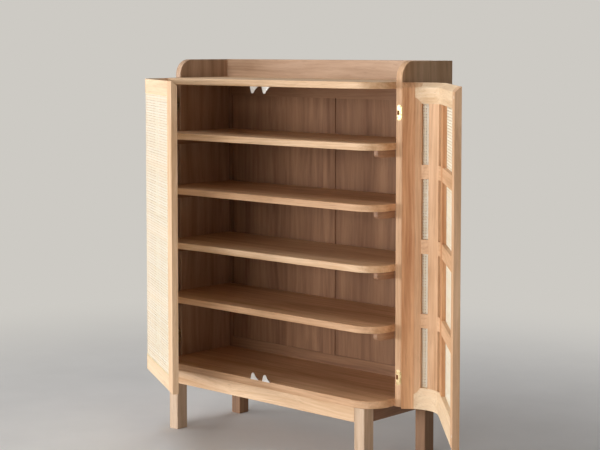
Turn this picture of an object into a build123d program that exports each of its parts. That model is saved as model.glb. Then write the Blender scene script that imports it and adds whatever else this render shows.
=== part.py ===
from build123d import *
import os
from math import cos, degrees, pi, sin, radians

os.makedirs("parts", exist_ok=True)

# Shoe cabinet on legs with two doors that wrap its front corners, in millimetres.
# X runs to the right, Y to the back, Z up; the origin is on the floor under the middle of the closed cabinet.

# Overall size with the doors closed
cabinet_width = 940.0
cabinet_depth = 350.0
cabinet_height = 1180.0
underside_height = 194.0
gallery_height = 58.0
gallery_radius = 50.0
gallery_thickness = 20.0

# Boards of the carcass
side_thickness = 22.0
board_thickness = 20.0
bottom_thickness = 22.0
lowest_space = 194.0
shelf_count = 4
housing_depth = 7.0
housing_setback = 14.0
board_easing = 2.0
side_easing = 2.0

# Shelf cleats
cleat_width = 28.0
cleat_height = 20.0
cleat_reach = 62.0
cleat_inset = 2.0
cleat_rounding = 8.0
cleat_screw_spacing = 90.0

# Framed back
back_frame_thickness = 14.0
back_stile_width = 16.0
back_top_rail_width = 42.0
back_bottom_rail_width = 34.0
muntin_width = 50.0
panel_thickness = 6.0
panel_setback = 4.0
panel_tongue = 6.0
groove_room = 1.0

# Base
leg_width = 38.0
leg_depth = 42.0
leg_inset = 60.0
leg_easing = 2.5
apron_height = 44.0
apron_thickness = 20.0
apron_easing = 1.5
board_overhang = 5.0
side_apron_setback = 4.0
tenon_length = 14.0
tenon_thickness = 10.0
tenon_shoulder = 7.0
tenon_room = 0.2
dowel_radius = 5.0
dowel_in_leg = 26.0
dowel_in_board = 12.0

# Doors: outer face of the front, turned corner and frame
door_projection = 118.0
door_thickness = 18.0
door_corner_radius = 95.0
door_top_drop = 2.0
hinge_gap = 2.0
meeting_gap = 3.0
board_gap = 5.0
opening_degrees = {"left": 30.0, "right": 133.0}

# Door frame, measured along the outer face of the door
hinge_stile_width = 38.0
meeting_stile_width = 54.0
inner_stile_width = 41.0
inner_stile_lap = 8.0
post_width = 50.0
top_rail_width = 41.0
bottom_rail_width = 43.0
mid_rail_width = 40.0
mid_rail_count = 3
bevel_width = 18.0
bevel_depth = 4.0
pull_height = 14.0
pull_lip = 2.0
cutter_margin = 1.0

# Woven sheet and its bead
rattan_seat = 2.6
rattan_thickness = 1.5
rattan_room = 0.3
bead_width = 4.0
bead_recess = 0.3

# Hinges, two to a door, with the pin on the outer edge of the side panel
hinge_end_distance = 85.0
leaf_length = 45.0
leaf_width = 13.0
leaf_thickness = 2.5
leaf_centre = 10.2
leaf_room = 0.15
knuckle_radius = 3.4
knuckle_room = 0.4
knuckle_length = 10.0
middle_knuckle_length = 12.0
knuckle_gap = 0.2
pin_radius = 1.7
pin_running_room = 0.05
link_pocket_width = 8.0
link_pocket_height = 13.0
link_pocket_depth = 9.0
hinge_screw_spacing = 31.0

# Catch plates, magnets and screws
catch_offset = 24.5
catch_width = 20.0
catch_drop = 20.0
catch_tip_width = 8.0
catch_wing_width = 13.0
catch_wing_drop = 11.0
catch_tip_radius = 3.0
catch_base_depth = 17.0
catch_thickness = 1.5
catch_gap = 0.6
magnet_radius = 5.0
magnet_thickness = 4.0
magnet_room = 0.1
screw_shank_radius = 1.6
screw_head_radius = 3.2
screw_length = 13.0
cleat_screw_shank_radius = 2.0
cleat_screw_head_radius = 4.0
cleat_screw_grip = 12.0
screw_room = 0.1
countersink_angle = 90.0

# Planes and levels that follow from the sizes above
sides = {"left": -1, "right": 1}
half_width = cabinet_width / 2
inner_x = half_width - side_thickness
back_y = cabinet_depth / 2
front_y = -cabinet_depth / 2
side_front_y = front_y + door_projection
top_surface = cabinet_height - gallery_height
top_underside = top_surface - board_thickness
floor_surface = underside_height + bottom_thickness
lowest_shelf_top = floor_surface + lowest_space + board_thickness
shelf_pitch = (top_surface - lowest_shelf_top) / shelf_count
shelf_tops = [lowest_shelf_top + index * shelf_pitch for index in range(shelf_count)]
cleat_tops = [shelf_top - board_thickness for shelf_top in shelf_tops]
back_frame_front = back_y - back_frame_thickness

# Rounded front corner shared by the doors and the boards behind them
corner_x = half_width - door_corner_radius
corner_y = front_y + door_corner_radius
door_inner_y = front_y + door_thickness
board_front_y = door_inner_y + board_gap
board_radius = door_corner_radius - door_thickness - board_gap

# Legs under the corners of the bottom board
leg_outer_x = half_width - leg_inset
leg_inner_x = leg_outer_x - leg_width
leg_front_y = board_front_y + board_overhang
leg_rows = {"front": leg_front_y, "back": back_y - leg_depth}
leg_centres = [
    (side * (leg_outer_x - leg_width / 2), leg_y + leg_depth / 2)
    for leg_y in leg_rows.values()
    for side in sides.values()
]

# Path along a door's outer face, measured from its hinge edge
hinge_y = side_front_y - hinge_gap / 2
corner_start = side_front_y - hinge_gap - corner_y
corner_end = corner_start + door_corner_radius * pi / 2
door_end = corner_end + corner_x - meeting_gap / 2
window_depth = door_thickness - bevel_depth
corner_bevel = bevel_width * door_corner_radius / (door_corner_radius - door_thickness)
hinge_flat_end = hinge_stile_width
hinge_open = hinge_flat_end + corner_bevel
meeting_flat_end = door_end - meeting_stile_width
meeting_open = meeting_flat_end - bevel_width
inner_stile_start = corner_end - inner_stile_lap
inner_stile_end = inner_stile_start + inner_stile_width
post_start = (hinge_open + inner_stile_start - post_width) / 2
post_end = post_start + post_width

# Door levels from bottom to top
door_bottom = underside_height
door_top = top_surface - door_top_drop
door_height = door_top - door_bottom
bottom_flat = door_bottom + bottom_rail_width
bottom_open = bottom_flat + bevel_width
top_flat = door_top - top_rail_width
top_open = top_flat - bevel_width
window_height = (top_open - bottom_open - mid_rail_count * mid_rail_width) / (mid_rail_count + 1)
hinge_heights = [door_bottom + hinge_end_distance, door_top - hinge_end_distance]
catch_levels = {"top": top_underside, "bottom": floor_surface}
magnet_levels = [top_underside - catch_drop / 2, floor_surface + catch_drop / 2]


# Shared helpers

def finish(piece, name):
    """Name a finished piece and write it."""
    piece.part.label = name
    export_step(piece.part, f"parts/{name}.step")


def block(low, high, mode=Mode.ADD):
    """Rectangular block between two opposite corners."""
    with Locations(tuple((a + b) / 2 for a, b in zip(low, high))):
        Box(*[b - a for a, b in zip(low, high)], mode=mode)


def drill(planes, shank, head, depth):
    """Countersunk holes for screws that enter along the planes."""
    with Locations(*planes):
        CounterSinkHole(shank + screw_room, head + screw_room, depth + screw_room, countersink_angle)


def screws(planes, shank, head, length):
    """Countersunk screws, heads flush with the planes."""
    to_surface = (Align.CENTER, Align.CENTER, Align.MAX)
    with Locations(*planes):
        Cylinder(shank, length, align=to_surface)
        Cone(shank, head, head - shank, align=to_surface)


def board_plan(level, back_edge, inset=0.0):
    """Plan of a board whose front corners follow the doors."""
    nose_x = half_width - door_thickness - board_gap - inset
    nose_y = board_front_y + inset
    with BuildSketch(Plane.XY.offset(level)) as plan:
        with BuildLine():
            Polyline(
                (0, back_edge), (inner_x, back_edge), (inner_x, side_front_y),
                (nose_x, side_front_y), (nose_x, corner_y),
            )
            RadiusArc((nose_x, corner_y), (corner_x, nose_y), board_radius - inset)
            Line((corner_x, nose_y), (0, nose_y))
            mirror(about=Plane.YZ)
        make_face()
    return plan.sketch


def nose_edges(piece):
    """Horizontal edges of a board in front of the side panels."""
    level_edges = piece.edges().filter_by(lambda edge: edge.bounding_box().size.Z < cutter_margin)
    return level_edges.filter_by(lambda edge: edge.bounding_box().min.Y < side_front_y - cutter_margin)


# Screw positions of the carcass

def cleat_screw_planes(side):
    """Screws through the cleats into one side panel."""
    face_x = side * (inner_x - cleat_width)
    middle_y = (side_front_y + back_frame_front) / 2
    return [
        Plane(
            origin=(face_x, middle_y + step * cleat_screw_spacing, cleat_top - cleat_height / 2),
            x_dir=(0, 1, 0),
            z_dir=(-side, 0, 0),
        )
        for cleat_top in cleat_tops
        for step in (-0.5, 0.5)
    ]


def catch_screw_planes(level_name):
    """Screws through the catch plates into the top or bottom board."""
    outwards = -1 if level_name == "top" else 1
    plate_face = catch_levels[level_name] + outwards * catch_thickness
    return [
        Plane(
            origin=(side * catch_offset, catch_screw_y, plate_face),
            x_dir=(1, 0, 0),
            z_dir=(0, 0, outwards),
        )
        for side in sides.values()
    ]


catch_front_y = door_inner_y + catch_gap
catch_back_y = catch_front_y + catch_base_depth
catch_screw_y = (board_front_y + catch_back_y) / 2
cleat_screw_length = cleat_width + cleat_screw_grip


# Hinge and door frames of reference

def hinge_plan(side, level, opening):
    """Plan plane on a hinge axis, x outwards and y to the back when the door is closed."""
    turn = radians(side * opening)
    return Plane(
        origin=(side * half_width, hinge_y, level),
        x_dir=(side * cos(turn), side * sin(turn), 0),
        z_dir=(0, 0, side),
    )


def door_plan(side_name, level):
    """Plan plane of a door as it stands open."""
    return hinge_plan(sides[side_name], level, opening_degrees[side_name])


def door_point(station, depth):
    """Point in a door's plan, a way along its outer face and a depth inside it."""
    edge_y = -hinge_gap / 2
    if station <= corner_start:
        return (-depth, edge_y - station)
    if station <= corner_end:
        angle = (station - corner_start) / door_corner_radius
        radius = door_corner_radius - depth
        return (radius * cos(angle) - door_corner_radius, edge_y - corner_start - radius * sin(angle))
    return (corner_end - station - door_corner_radius, edge_y - corner_start - door_corner_radius + depth)


def door_run(first, last, depth):
    """Line along a door at one depth, straight, round the corner and straight again."""
    corners = [corner for corner in (corner_start, corner_end) if first < corner < last]
    stops = [first, *corners, last]
    for begin, end in zip(stops, stops[1:]):
        middle = (begin + end) / 2
        if corner_start < middle < corner_end:
            ThreePointArc(door_point(begin, depth), door_point(middle, depth), door_point(end, depth))
        else:
            Line(door_point(begin, depth), door_point(end, depth))


def door_strip(side_name, level, first, last, outer, inner):
    """Plan of a door piece between two stations and two depths."""
    with BuildSketch(door_plan(side_name, level)) as plan:
        with BuildLine():
            door_run(first, last, outer)
            door_run(first, last, inner)
            Line(door_point(first, outer), door_point(first, inner))
            Line(door_point(last, outer), door_point(last, inner))
        make_face()
    return plan.sketch


def hinge_stile_plan(side_name):
    """Plan of the hinge stile with its bevel and the seat of the woven sheet."""
    with BuildSketch(door_plan(side_name, door_bottom)) as plan:
        with BuildLine():
            door_run(0, hinge_flat_end, 0)
            Line(door_point(hinge_flat_end, 0), door_point(hinge_flat_end, rattan_seat))
            door_run(hinge_flat_end, hinge_open, rattan_seat)
            Line(door_point(hinge_open, rattan_seat), door_point(hinge_open, window_depth))
            Line(door_point(hinge_open, window_depth), door_point(hinge_flat_end, door_thickness))
            door_run(0, hinge_flat_end, door_thickness)
            Line(door_point(0, 0), door_point(0, door_thickness))
        make_face()
    return plan.sketch


def meeting_stile_plan(side_name):
    """Plan of the meeting stile with its bevel and the seat of the woven sheet."""
    with BuildSketch(door_plan(side_name, door_bottom)) as plan:
        with BuildLine():
            Polyline(
                door_point(door_end, 0),
                door_point(meeting_flat_end, 0),
                door_point(meeting_flat_end, rattan_seat),
                door_point(meeting_open, rattan_seat),
                door_point(meeting_open, window_depth),
                door_point(meeting_flat_end, door_thickness),
                door_point(door_end, door_thickness),
                close=True,
            )
        make_face()
    return plan.sketch


def corner_centre(side_name):
    """Centre of a door's rounded corner, at floor level."""
    return door_plan(side_name, 0).from_local_coords(
        Vector(-door_corner_radius, -hinge_gap / 2 - corner_start, 0)
    )


def corner_axis(side_name):
    """Vertical axis of the rounded corner, turning away from the hinge."""
    return Axis(corner_centre(side_name), (0, 0, -sides[side_name]))


def door_section(side_name, angle, points):
    """Upright section across a door at an angle of its corner, points as radius and height."""
    plan = door_plan(side_name, 0)
    outwards = plan.x_dir * cos(angle) - plan.y_dir * sin(angle)
    upright = Plane(origin=corner_centre(side_name), x_dir=outwards, z_dir=outwards.cross(Vector(0, 0, 1)))
    with BuildSketch(upright) as section:
        Polygon(*points, align=None)
    return section.sketch


def radius_points(*depths_and_levels):
    """Section points given as depth inside the door and height."""
    return [(door_corner_radius - depth, level) for depth, level in depths_and_levels]


top_rail_points = radius_points(
    (0, top_flat),
    (0, door_top),
    (pull_lip, door_top),
    (door_thickness, door_top - pull_height),
    (door_thickness, top_flat),
    (window_depth, top_open),
    (rattan_seat, top_open),
    (rattan_seat, top_flat),
)
bottom_rail_points = radius_points(
    (0, door_bottom),
    (0, bottom_flat),
    (rattan_seat, bottom_flat),
    (rattan_seat, bottom_open),
    (window_depth, bottom_open),
    (door_thickness, bottom_flat),
    (door_thickness, door_bottom),
)
pull_slope = pull_height / (door_thickness - pull_lip)
pull_cut_points = radius_points(
    (pull_lip, door_top),
    (pull_lip, door_top + cutter_margin),
    (door_thickness + cutter_margin, door_top + cutter_margin),
    (door_thickness + cutter_margin, door_top - pull_height - pull_slope * cutter_margin),
)
rail_points = {"top": top_rail_points, "bottom": bottom_rail_points}
hinge_flat_angle = (hinge_flat_end - corner_start) / door_corner_radius
hinge_open_angle = (hinge_open - corner_start) / door_corner_radius
front_run = door_end - corner_end


# Hinge pieces shared by wood and metal

knuckle_reach = middle_knuckle_length / 2 + knuckle_gap + knuckle_length


def leaf_plane(plan, into_wood):
    """Plane on the wooden edge that a hinge leaf is let into, z into the wood."""
    origin = plan.from_local_coords(Vector(-leaf_centre, into_wood * hinge_gap / 2, 0))
    return Plane(origin=origin, x_dir=plan.x_dir, z_dir=plan.y_dir * into_wood)


def leaf_screw_planes(plan, into_wood):
    """The two screws of one leaf."""
    edge = leaf_plane(plan, into_wood)
    return [
        Plane(
            origin=edge.from_local_coords(Vector(0, step * hinge_screw_spacing, 0)),
            x_dir=edge.x_dir,
            z_dir=edge.z_dir * -1,
        )
        for step in (-0.5, 0.5)
    ]


def leaf_outline(plan, into_wood, room):
    """Leaf plate with round ends."""
    with BuildSketch(leaf_plane(plan, into_wood)) as outline:
        SlotOverall(leaf_length + 2 * room, leaf_width + 2 * room, rotation=90)
    return outline.sketch


def knuckle_plan(plan, into_wood, room):
    """Knuckle on the hinge axis and the strap that joins it to its leaf."""
    with BuildSketch(plan) as outline:
        Circle(knuckle_radius + room)
        strap_depth = leaf_thickness + hinge_gap / 2
        with Locations((-leaf_centre / 2, into_wood * (hinge_gap / 2 + strap_depth) / 2)):
            Rectangle(leaf_centre, strap_depth - hinge_gap / 2)
    return outline.sketch


def pocket_outline(plan, into_wood):
    """Pocket behind the leaf for the hinge links."""
    with BuildSketch(leaf_plane(plan, into_wood)) as outline:
        with Locations((-leaf_width / 4, 0)):
            Rectangle(link_pocket_width, link_pocket_height)
    return outline.sketch


def let_in_hinge(side, opening, into_wood):
    """Cut the seats of one door's two hinges out of a wooden edge."""
    for level in hinge_heights:
        plan = hinge_plan(side, level, opening)
        low_plan = hinge_plan(side, level - side * (knuckle_reach + knuckle_gap), opening)
        extrude(leaf_outline(plan, into_wood, leaf_room), amount=leaf_thickness, mode=Mode.SUBTRACT)
        extrude(pocket_outline(plan, into_wood), amount=link_pocket_depth, mode=Mode.SUBTRACT)
        extrude(
            knuckle_plan(low_plan, into_wood, knuckle_room),
            amount=2 * (knuckle_reach + knuckle_gap),
            mode=Mode.SUBTRACT,
        )
        drill(leaf_screw_planes(plan, into_wood), screw_shank_radius, screw_head_radius, screw_length)


def hinge_leaves(side, opening, into_wood, knuckles):
    """Two leaves with their knuckles, given as start and length along the pin."""
    for level in hinge_heights:
        plan = hinge_plan(side, level, opening)
        extrude(leaf_outline(plan, into_wood, 0), amount=leaf_thickness)
        extrude(pocket_outline(plan, into_wood), amount=leaf_thickness, mode=Mode.SUBTRACT)
        for start, length in knuckles:
            knuckle_base = hinge_plan(side, level + side * start, opening)
            extrude(knuckle_plan(knuckle_base, into_wood, 0), amount=length)
        with Locations(Plane(origin=plan.origin)):
            Cylinder(pin_radius + pin_running_room, 2 * knuckle_reach, mode=Mode.SUBTRACT)
        drill(leaf_screw_planes(plan, into_wood), screw_shank_radius, screw_head_radius, screw_length)


outer_knuckles = [(-knuckle_reach, knuckle_length), (knuckle_reach - knuckle_length, knuckle_length)]
middle_knuckle = [(-middle_knuckle_length / 2, middle_knuckle_length)]


# Side panels, each one board up to the gallery, with a rounded top front corner
for side_name, side in sides.items():
    with BuildPart() as side_panel:
        with BuildSketch(Plane.YZ.offset(min(side * inner_x, side * half_width))):
            with BuildLine():
                Polyline(
                    (side_front_y + gallery_radius, cabinet_height),
                    (back_y, cabinet_height),
                    (back_y, underside_height),
                    (side_front_y, underside_height),
                    (side_front_y, cabinet_height - gallery_radius),
                )
                RadiusArc(
                    (side_front_y, cabinet_height - gallery_radius),
                    (side_front_y + gallery_radius, cabinet_height),
                    gallery_radius,
                )
            make_face()
        extrude(amount=side_thickness)
        eased = side_panel.edges().filter_by(Axis.X, reverse=True)
        eased = eased.filter_by(lambda edge: edge.center().Y < back_y - cutter_margin)
        fillet(eased.filter_by(lambda edge: edge.center().Z > underside_height + cutter_margin), side_easing)
        for level, thickness in ((top_underside, board_thickness), (underside_height, bottom_thickness)):
            block(
                (side * inner_x - housing_depth, side_front_y + housing_setback, level),
                (side * inner_x + housing_depth, back_y, level + thickness),
                mode=Mode.SUBTRACT,
            )
        let_in_hinge(side, 0, 1)
        drill(
            cleat_screw_planes(side), cleat_screw_shank_radius, cleat_screw_head_radius, cleat_screw_length
        )
    finish(side_panel, f"side_panel_{side_name}")

# Top and bottom boards, housed in the side panels
for level_name, level, thickness in (
    ("top", top_underside, board_thickness),
    ("bottom", underside_height, bottom_thickness),
):
    with BuildPart() as board:
        extrude(board_plan(level, back_y), amount=thickness)
        fillet(nose_edges(board), board_easing)
        for side in sides.values():
            tongue_x = sorted((side * inner_x, side * (inner_x + housing_depth)))
            block(
                (tongue_x[0], side_front_y + housing_setback, level),
                (tongue_x[1], back_y, level + thickness),
            )
        drill(catch_screw_planes(level_name), screw_shank_radius, screw_head_radius, screw_length)
        if level_name == "bottom":
            with Locations([(*centre, level) for centre in leg_centres]):
                Cylinder(dowel_radius, 2 * dowel_in_board, mode=Mode.SUBTRACT)
    finish(board, f"{level_name}_board")

# Shelves
for number, cleat_top in enumerate(cleat_tops, start=1):
    with BuildPart() as shelf:
        extrude(board_plan(cleat_top, back_frame_front), amount=board_thickness)
        fillet(nose_edges(shelf), board_easing)
    finish(shelf, f"shelf_{number}")

# Cleats under both ends of every shelf, rounded in front and cut to the line of the shelf
cleat_front_y = side_front_y - cleat_reach
with BuildPart() as cleats:
    for side in sides.values():
        cleat_x = sorted((side * inner_x, side * (inner_x - cleat_width)))
        for cleat_top in cleat_tops:
            block(
                (cleat_x[0], cleat_front_y, cleat_top - cleat_height),
                (cleat_x[1], back_frame_front, cleat_top),
            )
    inset_plan = board_plan(underside_height, back_frame_front, cleat_inset)
    extrude(inset_plan, amount=cabinet_height, mode=Mode.INTERSECT)
    cleat_ends = cleats.faces().filter_by(Axis.Y).group_by(Axis.Y)[0]
    fillet([end.edges().sort_by(Axis.Z)[0] for end in cleat_ends], cleat_rounding)
    for side in sides.values():
        drill(
            cleat_screw_planes(side), cleat_screw_shank_radius, cleat_screw_head_radius, cleat_screw_length
        )
finish(cleats, "shelf_cleats")

with BuildPart() as cleat_screws:
    for side in sides.values():
        screws(
            cleat_screw_planes(side), cleat_screw_shank_radius, cleat_screw_head_radius, cleat_screw_length
        )
finish(cleat_screws, "cleat_screws")

# Gallery board behind the top board
with BuildPart() as gallery:
    block((-inner_x, back_y - gallery_thickness, top_surface), (inner_x, back_y, cabinet_height))
    fillet(gallery.edges().filter_by(Axis.X).group_by(Axis.Z)[-1], side_easing)
finish(gallery, "gallery_board")

# Framed back: panels stand in grooves of the stiles, rails and muntin
panel_y = back_frame_front + panel_setback
stile_inner_x = inner_x - back_stile_width
bottom_rail_top = floor_surface + back_bottom_rail_width
top_rail_bottom = top_underside - back_top_rail_width
panel_low_z = bottom_rail_top - panel_tongue
panel_high_z = top_rail_bottom + panel_tongue
panel_near_x = muntin_width / 2 - panel_tongue
panel_far_x = stile_inner_x + panel_tongue


def panel_block(side, room, mode=Mode.ADD):
    """A back panel, or the groove round it with room to move."""
    ends = sorted((side * (panel_near_x - room), side * (panel_far_x + room)))
    block(
        (ends[0], panel_y, panel_low_z - room),
        (ends[1], panel_y + panel_thickness, panel_high_z + room),
        mode=mode,
    )


back_frame_blocks = {
    "back_stiles": [
        (-inner_x, -stile_inner_x, floor_surface, top_underside),
        (stile_inner_x, inner_x, floor_surface, top_underside),
    ],
    "back_top_rail": [(-stile_inner_x, stile_inner_x, top_rail_bottom, top_underside)],
    "back_bottom_rail": [(-stile_inner_x, stile_inner_x, floor_surface, bottom_rail_top)],
    "back_muntin": [(-muntin_width / 2, muntin_width / 2, bottom_rail_top, top_rail_bottom)],
}
for name, extents in back_frame_blocks.items():
    with BuildPart() as back_piece:
        for low_x, high_x, low_z, high_z in extents:
            block((low_x, back_frame_front, low_z), (high_x, back_y, high_z))
        for side in sides.values():
            panel_block(side, groove_room, mode=Mode.SUBTRACT)
    finish(back_piece, name)

for side_name, side in sides.items():
    with BuildPart() as back_panel:
        panel_block(side, 0)
    finish(back_panel, f"back_panel_{side_name}")

# Base: aprons tenoned into four legs, dowels up into the bottom board
apron_low = underside_height - apron_height
side_apron_x = leg_outer_x - side_apron_setback - apron_thickness
apron_blocks = {
    "apron_front": ((-leg_inner_x, leg_front_y), (leg_inner_x, leg_front_y + apron_thickness)),
    "apron_back": ((-leg_inner_x, back_y - apron_thickness), (leg_inner_x, back_y)),
    "apron_left": (
        (-side_apron_x - apron_thickness, leg_front_y + leg_depth),
        (-side_apron_x, back_y - leg_depth),
    ),
    "apron_right": (
        (side_apron_x, leg_front_y + leg_depth),
        (side_apron_x + apron_thickness, back_y - leg_depth),
    ),
}


def tenon_block(apron_name, room, mode=Mode.ADD):
    """Bar through an apron that makes its two tenons, or their mortises with room."""
    low, high = apron_blocks[apron_name]
    along_x = high[0] - low[0] > high[1] - low[1]
    cheek = (apron_thickness - tenon_thickness) / 2 - room
    end = tenon_length + room
    grow = (-end, cheek) if along_x else (cheek, -end)
    block(
        (low[0] + grow[0], low[1] + grow[1], apron_low + tenon_shoulder - room),
        (high[0] - grow[0], high[1] - grow[1], underside_height - tenon_shoulder + room),
        mode=mode,
    )


for name, (low, high) in apron_blocks.items():
    with BuildPart() as apron:
        block((*low, apron_low), (*high, underside_height))
        fillet(apron.faces().sort_by(Axis.Z)[0].edges(), apron_easing)
        tenon_block(name, 0)
    finish(apron, name)

for row_name, leg_y in leg_rows.items():
    for side_name, side in sides.items():
        low_x = min(side * leg_inner_x, side * leg_outer_x)
        with BuildPart() as leg:
            block((low_x, leg_y, 0), (low_x + leg_width, leg_y + leg_depth, underside_height))
            fillet(leg.edges().filter_by(Axis.Z), leg_easing)
            chamfer(leg.faces().sort_by(Axis.Z)[0].edges(), leg_easing / 2)
            for apron_name in (f"apron_{row_name}", f"apron_{side_name}"):
                tenon_block(apron_name, tenon_room, mode=Mode.SUBTRACT)
            with Locations((low_x + leg_width / 2, leg_y + leg_depth / 2, underside_height)):
                Cylinder(dowel_radius, 2 * dowel_in_leg, mode=Mode.SUBTRACT)
        finish(leg, f"leg_{row_name}_{side_name}")

with BuildPart() as dowels:
    with BuildSketch(Plane.XY.offset(underside_height - dowel_in_leg)):
        with Locations(leg_centres):
            Circle(dowel_radius)
    extrude(amount=dowel_in_leg + dowel_in_board)
finish(dowels, "leg_dowels")

# Catch plates that the door magnets meet: a screwed foot and a rounded upright tab with a sloping wing
with BuildPart() as catches:
    for level_name, level in catch_levels.items():
        outwards = -1 if level_name == "top" else 1
        for side in sides.values():
            middle_x = side * catch_offset
            foot_z = sorted((level, level + outwards * catch_thickness))
            with BuildSketch(Plane.XZ.offset(-catch_front_y)):
                with BuildLine():
                    Polyline(
                        (middle_x - catch_width / 2, level),
                        (middle_x + catch_width / 2 + catch_wing_width, level),
                        (middle_x + catch_width / 2, level + outwards * catch_wing_drop),
                        (middle_x + catch_tip_width / 2, level + outwards * catch_drop),
                        (middle_x - catch_tip_width / 2, level + outwards * catch_drop),
                        close=True,
                    )
                tab = make_face()
                fillet(tab.vertices().sort_by(Axis.Y, reverse=outwards < 0)[-2:], catch_tip_radius)
            extrude(amount=-catch_thickness)
            block(
                (middle_x - catch_width / 2, catch_front_y, foot_z[0]),
                (middle_x + catch_width / 2, catch_back_y, foot_z[1]),
            )
        drill(catch_screw_planes(level_name), screw_shank_radius, screw_head_radius, screw_length)
finish(catches, "catch_plates")

with BuildPart() as catch_screws:
    for level_name in catch_levels:
        screws(catch_screw_planes(level_name), screw_shank_radius, screw_head_radius, screw_length)
finish(catch_screws, "catch_screws")

# Hinge halves in the side panels, pins and screws
with BuildPart() as cabinet_leaves:
    for side in sides.values():
        hinge_leaves(side, 0, 1, outer_knuckles)
finish(cabinet_leaves, "cabinet_hinge_leaves")

with BuildPart() as hinge_pins:
    for side in sides.values():
        with Locations([(side * half_width, hinge_y, level) for level in hinge_heights]):
            Cylinder(pin_radius, 2 * knuckle_reach)
finish(hinge_pins, "hinge_pins")

with BuildPart() as cabinet_hinge_screws:
    for side in sides.values():
        for level in hinge_heights:
            screws(
                leaf_screw_planes(hinge_plan(side, level, 0), 1),
                screw_shank_radius,
                screw_head_radius,
                screw_length,
            )
finish(cabinet_hinge_screws, "cabinet_hinge_screws")

# Doors, each as it stands open
for side_name, side in sides.items():
    opening = opening_degrees[side_name]
    prefix = f"door_{side_name}"

    # Hinge stile round the start of the corner
    with BuildPart() as hinge_stile:
        extrude(hinge_stile_plan(side_name), amount=side * door_height)
        pull_cut = door_section(side_name, 0, pull_cut_points)
        extrude(pull_cut, amount=-side * (corner_start + cutter_margin), mode=Mode.SUBTRACT)
        revolve(
            pull_cut,
            axis=corner_axis(side_name),
            revolution_arc=degrees(hinge_open_angle) + cutter_margin,
            mode=Mode.SUBTRACT,
        )
        let_in_hinge(side, opening, -1)
    finish(hinge_stile, f"{prefix}_hinge_stile")

    # Meeting stile with pockets for the magnets
    magnet_station = door_end - (catch_offset - meeting_gap / 2)
    door_face = door_plan(side_name, 0)
    magnet_planes = [
        Plane(
            origin=door_plan(side_name, level).from_local_coords(
                Vector(*door_point(magnet_station, door_thickness), 0)
            ),
            x_dir=door_face.x_dir,
            z_dir=door_face.y_dir,
        )
        for level in magnet_levels
    ]
    with BuildPart() as meeting_stile:
        extrude(meeting_stile_plan(side_name), amount=side * door_height)
        extrude(
            door_section(side_name, pi / 2, pull_cut_points),
            amount=side * (front_run + cutter_margin),
            mode=Mode.SUBTRACT,
        )
        with Locations(*magnet_planes):
            Hole(magnet_radius + magnet_room, magnet_thickness + magnet_room)
    finish(meeting_stile, f"{prefix}_meeting_stile")

    with BuildPart() as magnets:
        with Locations(*[plane.offset(-magnet_room) for plane in magnet_planes]):
            Cylinder(magnet_radius, magnet_thickness, align=(Align.CENTER, Align.CENTER, Align.MAX))
    finish(magnets, f"{prefix}_magnets")

    # Rails: turned in the corner and straight in front, scribed over the stiles
    for level_name, points in rail_points.items():
        with BuildPart() as corner_rail:
            revolve(
                door_section(side_name, hinge_flat_angle, points),
                axis=corner_axis(side_name),
                revolution_arc=degrees(pi / 2 - hinge_flat_angle),
            )
            extrude(hinge_stile_plan(side_name), amount=side * door_height, mode=Mode.SUBTRACT)
        finish(corner_rail, f"{prefix}_corner_{level_name}_rail")
        with BuildPart() as front_rail:
            extrude(
                door_section(side_name, pi / 2, points), amount=side * (meeting_flat_end - corner_end)
            )
            extrude(meeting_stile_plan(side_name), amount=side * door_height, mode=Mode.SUBTRACT)
        finish(front_rail, f"{prefix}_front_{level_name}_rail")

    # Post and inner stile behind the woven sheet
    for name, first, last in (
        ("corner_post", post_start, post_end),
        ("inner_stile", inner_stile_start, inner_stile_end),
    ):
        with BuildPart() as upright:
            extrude(
                door_strip(side_name, bottom_open, first, last, rattan_seat, window_depth),
                amount=side * (top_open - bottom_open),
            )
        finish(upright, f"{prefix}_{name}")

    # Mid rails between the uprights
    with BuildPart() as mid_rails:
        for index in range(mid_rail_count):
            level = bottom_open + window_height + index * (window_height + mid_rail_width)
            for first, last in (
                (hinge_open, post_start),
                (post_end, inner_stile_start),
                (inner_stile_end, meeting_open),
            ):
                extrude(
                    door_strip(side_name, level, first, last, rattan_seat, window_depth),
                    amount=side * mid_rail_width,
                )
    finish(mid_rails, f"{prefix}_mid_rails")

    # Woven sheet in its seat, and the bead round its edge
    sheet_first = hinge_flat_end + rattan_room
    sheet_last = meeting_flat_end - rattan_room
    sheet_low = bottom_flat + rattan_room
    sheet_high = top_flat - rattan_room
    sheet_face = rattan_seat - rattan_thickness
    with BuildPart() as rattan:
        extrude(
            door_strip(side_name, sheet_low, sheet_first, sheet_last, sheet_face, rattan_seat),
            amount=side * (sheet_high - sheet_low),
        )
    finish(rattan, f"{prefix}_rattan")

    with BuildPart() as bead:
        for level in (sheet_low, sheet_high - bead_width):
            extrude(
                door_strip(side_name, level, sheet_first, sheet_last, bead_recess, sheet_face),
                amount=side * bead_width,
            )
        for first in (sheet_first, sheet_last - bead_width):
            extrude(
                door_strip(side_name, sheet_low, first, first + bead_width, bead_recess, sheet_face),
                amount=side * (sheet_high - sheet_low),
            )
    finish(bead, f"{prefix}_bead")

    # Hinge halves in the door
    with BuildPart() as door_leaves:
        hinge_leaves(side, opening, -1, middle_knuckle)
    finish(door_leaves, f"{prefix}_hinge_leaves")

    with BuildPart() as door_hinge_screws:
        for level in hinge_heights:
            screws(
                leaf_screw_planes(hinge_plan(side, level, opening), -1),
                screw_shank_radius,
                screw_head_radius,
                screw_length,
            )
    finish(door_hinge_screws, f"{prefix}_hinge_screws")
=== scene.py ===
from math import cos, pi, radians, sin

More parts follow.
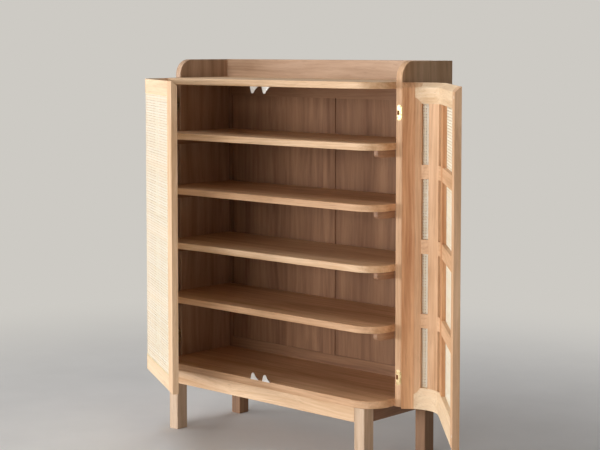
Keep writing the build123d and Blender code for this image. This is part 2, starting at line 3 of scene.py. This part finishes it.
import bmesh
import bpy
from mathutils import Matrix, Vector


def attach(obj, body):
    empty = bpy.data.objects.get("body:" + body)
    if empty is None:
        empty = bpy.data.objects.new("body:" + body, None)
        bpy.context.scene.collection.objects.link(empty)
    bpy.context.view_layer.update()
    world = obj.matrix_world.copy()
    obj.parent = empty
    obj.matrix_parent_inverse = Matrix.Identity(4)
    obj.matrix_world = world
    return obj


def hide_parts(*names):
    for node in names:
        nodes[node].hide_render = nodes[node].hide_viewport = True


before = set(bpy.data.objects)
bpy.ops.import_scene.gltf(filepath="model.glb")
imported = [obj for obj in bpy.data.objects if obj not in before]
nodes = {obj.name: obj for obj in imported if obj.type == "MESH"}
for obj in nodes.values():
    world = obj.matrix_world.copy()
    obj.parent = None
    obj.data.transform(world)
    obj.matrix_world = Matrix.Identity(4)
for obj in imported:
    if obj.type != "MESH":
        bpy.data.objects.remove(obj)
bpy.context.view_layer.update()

# Shoe cabinet with two doors that wrap its front corners: sizes of the doors, in metres
half_width = 0.470
hinge_y = -0.058
hinge_gap = 0.002
door_thickness = 0.018
corner_start = 0.021
corner_radius = 0.095
corner_end = corner_start + corner_radius * pi / 2
bevel_start = 0.038

# How far each door is turned about its hinge, in degrees, and which way is outwards
opening = {"left": -30.0, "right": 133.0}
outward = {"left": -1, "right": 1}


def door_place(side, station, depth, height):
    """Point of a door, a way along its outer face and a depth inside it, as the door stands open."""
    edge_y = -hinge_gap / 2
    if station <= corner_start:
        x, y = -depth, edge_y - station
    elif station <= corner_end:
        angle = (station - corner_start) / corner_radius
        x = (corner_radius - depth) * cos(angle) - corner_radius
        y = edge_y - corner_start - (corner_radius - depth) * sin(angle)
    else:
        x = corner_end - station - corner_radius
        y = edge_y - corner_start - corner_radius + depth
    x *= outward[side]
    turn = radians(opening[side])
    return Vector((
        outward[side] * half_width + x * cos(turn) - y * sin(turn),
        hinge_y + x * sin(turn) + y * cos(turn),
        height,
    ))


def linear(code):
    """sRGB hex colour as linear red, green, blue and alpha."""
    parts = [int(code[i:i + 2], 16) / 255 for i in (1, 3, 5)]
    return (*[c / 12.92 if c <= 0.04045 else ((c + 0.055) / 1.055) ** 2.4 for c in parts], 1.0)


def add(tree, kind, inputs=(), stops=(), **settings):
    """Add a node, set it up, and fill its inputs with values or links, and a ramp with its two stops."""
    node = tree.nodes.new(kind)
    for name, value in settings.items():
        setattr(node, name, value)
    for name, value in dict(inputs).items():
        if isinstance(value, bpy.types.NodeSocket):
            tree.links.new(value, node.inputs[name])
        else:
            node.inputs[name].default_value = value
    if stops:
        for element, (place, colour) in zip(node.color_ramp.elements, stops):
            element.position = place
            element.color = linear(colour)
    return node


def new_material(name):
    """Empty material and its node tree."""
    material = bpy.data.materials.new(name)
    material.use_nodes = True
    material.node_tree.nodes.clear()
    return material, material.node_tree


# Refraction of wood and cane
natural_ior = 1.5

# Teak, planed, sanded and oiled: a warm satin surface with broad bands, long streaks, faint rings and open
# pores. Rings of about 4 mm and pores under 1 mm are finer than the picture shows, so both are drawn coarser.
# Each tone has the colour of the early wood and of the late wood.
teak_tones = {
    "pale": ("#E6C5A1", "#C0956B"),
    "straw": ("#E6CDAC", "#CAA780"),
    "honey": ("#DDB48E", "#B2865E"),
    "amber": ("#E0AE80", "#9C643A"),
    "umber": ("#A57D5E", "#745039"),
    "weathered": ("#D3B99F", "#AE8F71"),
    "drift": ("#C4A387", "#9C7A5E"),
    "bark": ("#97704F", "#6E4C34"),
}

# Layers of the grain: length along it and width across it in metres, and how much detail is in each
grain_layers = {
    "bends": (0.60, 0.16, 1.0),
    "bands": (0.80, 0.060, 2.0),
    "streaks": (0.45, 0.020, 6.0),
    "pores": (0.060, 0.0022, 1.0),
}
grain_roughness = 0.68
bend_reach = 0.060
ring_spacing = 0.010
ring_stretch = 0.04

# How the layers mix into the figure of the wood, how satin it is, and how its pores and sapwood show
band_share, streak_share, ring_share = 0.55, 0.62, 0.05
share_offset = -0.08
figure_low, figure_high = 0.36, 0.72
satin_low, satin_high = 0.52, 0.66
pore_low, pore_high = 0.26, 0.44
pore_shade = 0.24
pore_colour = "#6E4526"
pore_depth = 0.0003
pore_relief = 0.2
sapwood_tone = "honey"
sapwood_blur = 0.002


def teak(name, turn, tone, cut, sapwood=None):
    """Teak with its grain along X after the turn, from its own place in the log, with any sapwood edge."""
    material, tree = new_material(name)
    place = add(tree, "ShaderNodeTexCoord").outputs["Object"]
    along = add(
        tree, "ShaderNodeMapping", {"Vector": place, "Rotation": turn, "Location": cut}
    ).outputs["Vector"]
    layers = {}
    for layer, (length, width, detail) in grain_layers.items():
        fitted = add(
            tree, "ShaderNodeMapping", {"Vector": along, "Scale": (1 / length, 1 / width, 1 / width)}
        ).outputs["Vector"]
        layers[layer] = add(
            tree, "ShaderNodeTexNoise",
            {"Vector": fitted, "Scale": 1.0, "Detail": detail, "Roughness": grain_roughness},
        )
        if layer == "bends":
            along = add(
                tree, "ShaderNodeVectorMath",
                {0: layers[layer].outputs["Color"], 1: (0.0, bend_reach, bend_reach), 2: along},
                operation="MULTIPLY_ADD",
            ).outputs["Vector"]

    # A wave texture repeats every tenth of pi at a scale of 1
    log = add(tree, "ShaderNodeVectorMath", {0: along, 1: (ring_stretch, 1.0, 1.0)}, operation="MULTIPLY")
    rings = add(
        tree, "ShaderNodeTexWave",
        {"Vector": log.outputs["Vector"], "Scale": pi / 10 / ring_spacing, "Distortion": 1.2, "Detail": 2.0,
         "Detail Scale": 1.5, "Detail Roughness": 0.55},
        wave_type="RINGS", rings_direction="X", wave_profile="SIN",
    )

    shares = ((layers["bands"], band_share), (layers["streaks"], streak_share), (rings, ring_share))
    mixed = share_offset
    for layer, share in shares:
        mixed = add(
            tree, "ShaderNodeMath", {0: layer.outputs["Fac"], 1: share, 2: mixed}, operation="MULTIPLY_ADD"
        ).outputs["Value"]
    figure = add(
        tree, "ShaderNodeMapRange", {"Value": mixed, "From Min": figure_low, "From Max": figure_high}
    ).outputs["Result"]
    early, late = [linear(code) for code in teak_tones[tone]]
    wood = add(tree, "ShaderNodeMix", {"Factor": figure, "A": early, "B": late}, data_type="RGBA")
    if sapwood:
        towards, start = sapwood
        early, late = [linear(code) for code in teak_tones[sapwood_tone]]
        young = add(tree, "ShaderNodeMix", {"Factor": figure, "A": early, "B": late}, data_type="RGBA")
        past = add(tree, "ShaderNodeVectorMath", {0: place, 1: towards}, operation="DOT_PRODUCT")
        edge = add(
            tree, "ShaderNodeMapRange",
            {"Value": past.outputs["Value"], "From Min": start, "From Max": start + sapwood_blur},
        )
        wood = add(
            tree, "ShaderNodeMix",
            {"Factor": edge.outputs["Result"], "A": wood.outputs["Result"], "B": young.outputs["Result"]},
            data_type="RGBA",
        )

    pits = add(
        tree, "ShaderNodeMapRange",
        {"Value": layers["pores"].outputs["Fac"], "From Min": pore_low, "From Max": pore_high},
    ).outputs["Result"]
    darkest = add(tree, "ShaderNodeMapRange", {"Value": pits, "To Min": pore_shade, "To Max": 0.0})
    pored = add(
        tree, "ShaderNodeMix",
        {"Factor": darkest.outputs["Result"], "A": wood.outputs["Result"], "B": linear(pore_colour)},
        data_type="RGBA",
    )
    satin = add(
        tree, "ShaderNodeMapRange",
        {"Value": layers["streaks"].outputs["Fac"], "From Min": 0.3, "From Max": 0.7,
         "To Min": satin_low, "To Max": satin_high},
    )
    relief = add(tree, "ShaderNodeBump", {"Height": pits, "Strength": pore_relief, "Distance": pore_depth})
    surface = add(
        tree, "ShaderNodeBsdfPrincipled",
        {"Base Color": pored.outputs["Result"], "Roughness": satin.outputs["Result"],
         "Normal": relief.outputs["Normal"], "IOR": natural_ior},
    )
    add(tree, "ShaderNodeOutputMaterial", {"Surface": surface.outputs["BSDF"]})
    return material


# Split cane, peeled and dried, drawn near white: paler than its own straw, as painted light of the strong
# window light on it. Slightly glossy on its skin, each strand a little different. It is so thin that light
# from behind shines through it.
strand_fibre_length = 0.025
fibres_across_strand = 5.0
cane_relief = 0.3
cane_fibre_depth = 0.0002
cane_translucency = 0.5


def cane(name, light, dark, roughness):
    """Cane whose strands run along the first UV axis, numbered along the second."""
    material, tree = new_material(name)
    strand = add(tree, "ShaderNodeUVMap", uv_map="strand").outputs["UV"]
    parts = add(tree, "ShaderNodeSeparateXYZ", {"Vector": strand})
    number = add(tree, "ShaderNodeMath", {0: parts.outputs["Y"]}, operation="FLOOR")
    shade = add(tree, "ShaderNodeTexWhiteNoise", {"W": number.outputs["Value"]}, noise_dimensions="1D")
    fitted = add(
        tree, "ShaderNodeMapping",
        {"Vector": strand, "Scale": (1 / strand_fibre_length, fibres_across_strand, 1.0)},
    )
    fibres = add(
        tree, "ShaderNodeTexNoise",
        {"Vector": fitted.outputs["Vector"], "Scale": 1.0, "Detail": 3.0, "Roughness": 0.6},
    ).outputs["Fac"]
    mixed = add(tree, "ShaderNodeMath", {0: shade.outputs["Value"], 1: fibres}, operation="MULTIPLY")
    colour = add(
        tree, "ShaderNodeValToRGB", {"Fac": mixed.outputs["Value"]}, stops=((0.05, light), (0.75, dark))
    ).outputs["Color"]
    relief = add(
        tree, "ShaderNodeBump", {"Height": fibres, "Strength": cane_relief, "Distance": cane_fibre_depth}
    )
    skin = add(
        tree, "ShaderNodeBsdfPrincipled",
        {"Base Color": colour, "Roughness": roughness, "Normal": relief.outputs["Normal"],
         "IOR": natural_ior},
    )
    through = add(tree, "ShaderNodeBsdfTranslucent", {"Color": colour})
    thin = add(
        tree, "ShaderNodeMixShader",
        {0: cane_translucency, 1: skin.outputs["BSDF"], 2: through.outputs["BSDF"]},
    )
    add(tree, "ShaderNodeOutputMaterial", {"Surface": thin.outputs["Shader"]})
    return material


# Cane spline that covers the edge of the weave: the same straw colour, with a fine fleck
spline_fleck = 0.00625
spline_relief = 0.2


def cane_spline(name):
    """Flat cane strip on Object coordinates."""
    material, tree = new_material(name)
    place = add(tree, "ShaderNodeTexCoord").outputs["Object"]
    fleck = add(
        tree, "ShaderNodeTexNoise",
        {"Vector": place, "Scale": 1 / spline_fleck, "Detail": 4.0, "Roughness": 0.65},
    ).outputs["Fac"]
    colour = add(tree, "ShaderNodeValToRGB", {"Fac": fleck}, stops=((0.35, "#D9BE90"), (0.65, "#EBD9B4")))
    relief = add(
        tree, "ShaderNodeBump", {"Height": fleck, "Strength": spline_relief, "Distance": cane_fibre_depth}
    )
    surface = add(
        tree, "ShaderNodeBsdfPrincipled",
        {"Base Color": colour.outputs["Color"], "Roughness": 0.5, "Normal": relief.outputs["Normal"],
         "IOR": natural_ior},
    )
    add(tree, "ShaderNodeOutputMaterial", {"Surface": surface.outputs["BSDF"]})
    return material


# Metal fittings, all a little rubbed: satin brass hinges, pale nickel plate on the catches and magnets, and
# zinc-plated steel screws in the cleats
def plated(name, clean, worn, low, high, patch):
    """Metal with faint rubbed patches of a size in millimetres, its roughness from low to high."""
    material, tree = new_material(name)
    place = add(tree, "ShaderNodeTexCoord").outputs["Object"]
    rubbed = add(
        tree, "ShaderNodeTexNoise",
        {"Vector": place, "Scale": 1000.0 / patch, "Detail": 3.0, "Roughness": 0.6},
    ).outputs["Fac"]
    colour = add(tree, "ShaderNodeValToRGB", {"Fac": rubbed}, stops=((0.35, worn), (0.6, clean)))
    rough = add(
        tree, "ShaderNodeMapRange",
        {"Value": rubbed, "From Min": 0.3, "From Max": 0.7, "To Min": high, "To Max": low},
    )
    surface = add(
        tree, "ShaderNodeBsdfPrincipled",
        {"Base Color": colour.outputs["Color"], "Roughness": rough.outputs["Result"], "Metallic": 1.0},
    )
    add(tree, "ShaderNodeOutputMaterial", {"Surface": surface.outputs["BSDF"]})
    return material


brass = plated("satin_brass", "#D3BF96", "#A89066", 0.34, 0.48, 6.0)
nickel = plated("nickel_plate", "#F7F6F4", "#E8E6E2", 0.42, 0.52, 6.0)
steel = plated("zinc_plated_steel", "#B9B9B6", "#9C9B98", 0.30, 0.45, 4.0)
# The near-white cane colours are painted light, paler than the cane's own straw
painted_light_cane = cane("woven_cane", "#FEFAF0", "#F6EAD3", 0.55)
edge_cane = cane_spline("cane_spline")

# Grain directions: along the width, along the depth, upright, and along each door's front and corner
across = (0.0, 0.0, 0.0)
deep = (0.0, 0.0, -pi / 2)
upright = (0.0, pi / 2, 0.0)
door_front = {side: (0.0, 0.0, -radians(opening[side])) for side in opening}
door_corner = {side: (0.0, 0.0, -radians(opening[side] + outward[side] * 45)) for side in opening}

# Teak of the pieces: direction of the grain, tone, place in the log and the pieces cut from it
teak_pieces = {
    # Left side: its greyer drift tone, darker than the right side's, is painted shade on its inner face
    "teak_left_side_painted_shade": (upright, "drift", (0.31, 0.12, 0.05), ("side_panel_left",)),
    "teak_right_side": (upright, "honey", (0.31, 0.12, 0.05), ("side_panel_right",)),
    "teak_top_board": (across, "pale", (0.0, 0.33, 0.21), ("top_board",)),
    "teak_shelves": (across, "honey", (0.45, 0.18, 0.07), ("shelf_1", "shelf_3", "bottom_board")),
    "teak_shelves_pale": (across, "pale", (0.95, 0.41, 0.33), ("shelf_2", "shelf_4")),
    "teak_gallery": (across, "drift", (1.7, 0.52, 0.14), ("gallery_board",)),
    "teak_back_rails": (across, "umber", (2.1, 0.23, 0.44), ("back_top_rail", "back_bottom_rail")),
    "teak_back_uprights": (upright, "umber", (2.6, 0.37, 0.28), ("back_stiles", "back_muntin")),
    "teak_back_panels": (upright, "umber", (3.3, 0.61, 0.17), ("back_panel_left", "back_panel_right")),
    # Cleats and side aprons: their deeper umber tone is painted shade from the shelves and bottom board above
    # them
    "teak_cleats_painted_shade": (deep, "umber", (0.7, 0.29, 0.51), ("shelf_cleats", "apron_left", "apron_right")),
    "teak_aprons": (across, "pale", (3.9, 0.15, 0.62), ("apron_front", "apron_back")),
    "teak_front_legs": (
        upright, "weathered", (4.4, 0.47, 0.09), ("leg_front_left", "leg_front_right", "leg_dowels"),
    ),
    # Back legs: their dark bark tone is painted shade from the cabinet standing over them
    "teak_back_legs_painted_shade": (upright, "bark", (9.1, 0.19, 0.58), ("leg_back_left", "leg_back_right")),
}
# The left door's meeting stile is paler than the right's: painted light of the window on its outer face
meeting_tone_painted_light = {"left": "pale", "right": "honey"}
sapwood_edges = {}
for side in opening:
    door = f"door_{side}"
    teak_pieces.update({
        f"teak_{door}_hinge_stile": (upright, "amber", (5.1, 0.21, 0.33), (f"{door}_hinge_stile",)),
        f"teak_{door}_corner_post": (upright, "honey", (5.8, 0.57, 0.12), (f"{door}_corner_post",)),
        f"teak_{door}_inner_stile": (upright, "amber", (8.2, 0.27, 0.42), (f"{door}_inner_stile",)),
        f"teak_{door}_meeting_stile": (
            upright, meeting_tone_painted_light[side], (6.3, 0.11, 0.48), (f"{door}_meeting_stile",),
        ),
        f"teak_{door}_front_rails": (
            door_front[side], "straw", (6.9, 0.39, 0.26),
            (f"{door}_front_top_rail", f"{door}_front_bottom_rail"),
        ),
        f"teak_{door}_mid_rails": (door_front[side], "honey", (9.7, 0.31, 0.14), (f"{door}_mid_rails",)),
        f"teak_{door}_corner_rails": (
            door_corner[side], "straw", (7.7, 0.66, 0.39),
            (f"{door}_corner_top_rail", f"{door}_corner_bottom_rail"),
        ),
    })
    # The bevel of the hinge stile is sapwood, away from the hinge
    turn = radians(opening[side])
    towards = Vector((sin(turn), -cos(turn), 0.0))
    start = door_place(side, bevel_start, door_thickness, 0.0).dot(towards)
    sapwood_edges[f"teak_{door}_hinge_stile"] = (towards, start)

finish_of = {}
for name, (turn, tone, cut, pieces) in teak_pieces.items():
    material = teak(name, turn, tone, cut, sapwood_edges.get(name))
    finish_of.update({piece: material for piece in pieces})
for side in opening:
    finish_of[f"door_{side}_bead"] = edge_cane
    finish_of[f"door_{side}_hinge_leaves"] = brass
    finish_of[f"door_{side}_hinge_screws"] = brass
    finish_of[f"door_{side}_magnets"] = nickel
for name in ("cabinet_hinge_leaves", "cabinet_hinge_screws", "hinge_pins"):
    finish_of[name] = brass
for name in ("catch_plates", "catch_screws"):
    finish_of[name] = nickel
finish_of["cleat_screws"] = steel
for name, material in finish_of.items():
    nodes[name].data.materials.clear()
    nodes[name].data.materials.append(material)


# Woven cane sheets of the doors: strands of one pitch both ways, in the seat between the stiles and rails
strand_pitch = 0.008
strand_width = 0.0054
strand_thickness = 0.00025
strand_lift = 0.00045
weave_depth = 0.00185
sheet_first, sheet_last = 0.0383, 0.4894
sheet_low, sheet_high = 0.2373, 1.0787
columns = round((sheet_last - sheet_first) / strand_pitch)
rows = round((sheet_high - sheet_low) / strand_pitch)
column_step = (sheet_last - sheet_first) / columns
row_step = (sheet_high - sheet_low) / rows


def weave(side, standing):
    """All the standing or all the lying strands of one door's sheet, over and under in turn."""
    steps = rows if standing else columns
    strands = columns if standing else rows

    # Flat strands on a grid of whole numbers, lifted and dropped at every crossing
    shape = bmesh.new()
    first = bmesh.ops.create_grid(shape, x_segments=steps, y_segments=1, size=1.0)
    for vertex in first["verts"]:
        vertex.co.x = (vertex.co.x + 1) / 2 * steps
        vertex.co.y *= strand_width / strand_pitch / 2
    strand_faces = shape.faces[:]
    for number in range(1, strands):
        copy = bmesh.ops.duplicate(shape, geom=strand_faces)
        moved = [item for item in copy["geom"] if isinstance(item, bmesh.types.BMVert)]
        bmesh.ops.translate(shape, verts=moved, vec=(0, number, 0))
    for vertex in shape.verts:
        crossing = round(vertex.co.x) + round(vertex.co.y) + standing
        vertex.co.z = strand_lift if crossing % 2 else -strand_lift
    strand_uv = shape.loops.layers.uv.new("strand")
    for face in shape.faces:
        for loop in face.loops:
            loop[strand_uv].uv = (loop.vert.co.x * strand_pitch, loop.vert.co.y + 0.5)
    bmesh.ops.solidify(shape, geom=shape.faces[:], thickness=strand_thickness)

    # The same strands laid along the door and round its corner
    for vertex in shape.verts:
        along, beside, lift = vertex.co
        column, row = (beside + 0.5, along) if standing else (along, beside + 0.5)
        vertex.co = door_place(
            side, sheet_first + column * column_step, weave_depth + lift, sheet_low + row * row_step
        )
    bmesh.ops.recalc_face_normals(shape, faces=shape.faces[:])

    name = f"door_{side}_cane_{'standing' if standing else 'lying'}"
    mesh = bpy.data.meshes.new(name)
    shape.to_mesh(mesh)
    shape.free()
    mesh.materials.append(painted_light_cane)
    piece = bpy.data.objects.new(name, mesh)
    bpy.context.scene.collection.objects.link(piece)
    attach(piece, f"door_{side}")
    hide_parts(f"door_{side}_rattan")


for side in opening:
    weave(side, True)
    weave(side, False)


# Pale floor that fades into an even pale background
backdrop = "#CDCAC4"
floor_reach = 20.0
mottle_size = 0.4
fade_start, fade_end = 0.8, 2.8
fill_colour = "#FFE9D4"
fill_strength = 0.03


def background_rays(tree):
    """1 for rays that see the background: straight from the camera, or by way of gloss or glass."""
    rays = add(tree, "ShaderNodeLightPath")
    seen = rays.outputs["Is Camera Ray"]
    for kind in ("Is Glossy Ray", "Is Transmission Ray"):
        seen = add(
            tree, "ShaderNodeMath", {0: seen, 1: rays.outputs[kind]}, operation="MAXIMUM"
        ).outputs["Value"]
    return seen


floor_material, tree = new_material("pale_floor")
place = add(tree, "ShaderNodeTexCoord").outputs["Object"]
mottle = add(
    tree, "ShaderNodeTexNoise", {"Vector": place, "Scale": 1 / mottle_size, "Detail": 5.0, "Roughness": 0.6}
)
tint = add(
    tree, "ShaderNodeValToRGB", {"Fac": mottle.outputs["Fac"]}, stops=((0.3, "#E6E6E6"), (0.7, "#EEEEEE"))
)
matte = add(tree, "ShaderNodeBsdfPrincipled", {"Base Color": tint.outputs["Color"], "Roughness": 0.85})
glow = add(tree, "ShaderNodeEmission", {"Color": linear(backdrop), "Strength": 1.0})
reach = add(tree, "ShaderNodeVectorMath", {0: place}, operation="LENGTH")
fade = add(
    tree, "ShaderNodeMapRange",
    {"Value": reach.outputs["Value"], "From Min": fade_start, "From Max": fade_end},
    interpolation_type="SMOOTHSTEP",
)
faded = add(
    tree, "ShaderNodeMath", {0: background_rays(tree), 1: fade.outputs["Result"]}, operation="MULTIPLY"
)
either = add(
    tree, "ShaderNodeMixShader",
    {0: faded.outputs["Value"], 1: matte.outputs["BSDF"], 2: glow.outputs["Emission"]},
)
add(tree, "ShaderNodeOutputMaterial", {"Surface": either.outputs["Shader"]})
shape = bmesh.new()
bmesh.ops.create_circle(shape, cap_ends=True, segments=64, radius=floor_reach)
mesh = bpy.data.meshes.new("floor")
shape.to_mesh(mesh)
shape.free()
mesh.materials.append(floor_material)
floor = bpy.data.objects.new("floor", mesh)
bpy.context.scene.collection.objects.link(floor)

# World: a weak warm fill on the cabinet, and the pale background behind it
world = bpy.data.worlds.new("studio")
bpy.context.scene.world = world
world.use_nodes = True
tree = world.node_tree
tree.nodes.clear()
fill = add(tree, "ShaderNodeBackground", {"Color": linear(fill_colour), "Strength": fill_strength})
pale = add(tree, "ShaderNodeBackground", {"Color": linear(backdrop), "Strength": 1.0})
either = add(
    tree, "ShaderNodeMixShader",
    {0: background_rays(tree), 1: fill.outputs["Background"], 2: pale.outputs["Background"]},
)
add(tree, "ShaderNodeOutputWorld", {"Surface": either.outputs["Shader"]})


def soft_lamp(name, place, aim, size, watts, colour="#FFFFFF"):
    """Area lamp of a width and a height, aimed at a point."""
    lamp = bpy.data.lights.new(name, "AREA")
    lamp.shape = "RECTANGLE"
    lamp.size, lamp.size_y = size
    lamp.energy = watts
    lamp.color = linear(colour)[:3]
    holder = bpy.data.objects.new(name, lamp)
    holder.location = place
    holder.rotation_euler = (Vector(aim) - Vector(place)).to_track_quat("-Z", "Y").to_euler()
    bpy.context.scene.collection.objects.link(holder)


# Broad low light from the left of the front, far enough away to be even, and weaker light from the front,
# from above and from behind
front_aim = (0.0, -0.1, 0.7)
soft_lamp("window_left", (-8.8, -7.7, 0.9), front_aim, size=(8.0, 1.8), watts=940.0, colour="#FFFDFA")
soft_lamp("room_front", (1.6, -8.9, 1.6), front_aim, size=(5.6, 3.0), watts=430.0)
soft_lamp("sky_above", (-1.2, -1.2, 3.7), (0.0, -0.1, 0.8), size=(2.5, 2.5), watts=50.0)
soft_lamp("room_behind", (-1.2, 4.4, 1.6), (0.0, 0.1, 0.7), size=(3.0, 2.4), watts=60.0)

# Camera to the right of the front, a little above the top, with the picture's lens shift
camera_place = (3.1296, -3.3447, 1.2142)
camera_heading = 42.866
camera_dip = 3.973
camera = bpy.data.cameras.new("camera")
camera.sensor_width = 36.0
camera.lens = 90.005
camera.shift_y = -0.12
viewer = bpy.data.objects.new("camera", camera)
viewer.location = camera_place
viewer.rotation_euler = (radians(90 - camera_dip), 0.0, radians(camera_heading))
bpy.context.scene.collection.objects.link(viewer)
bpy.context.scene.camera = viewer
bpy.context.scene.view_settings.view_transform = "Standard"
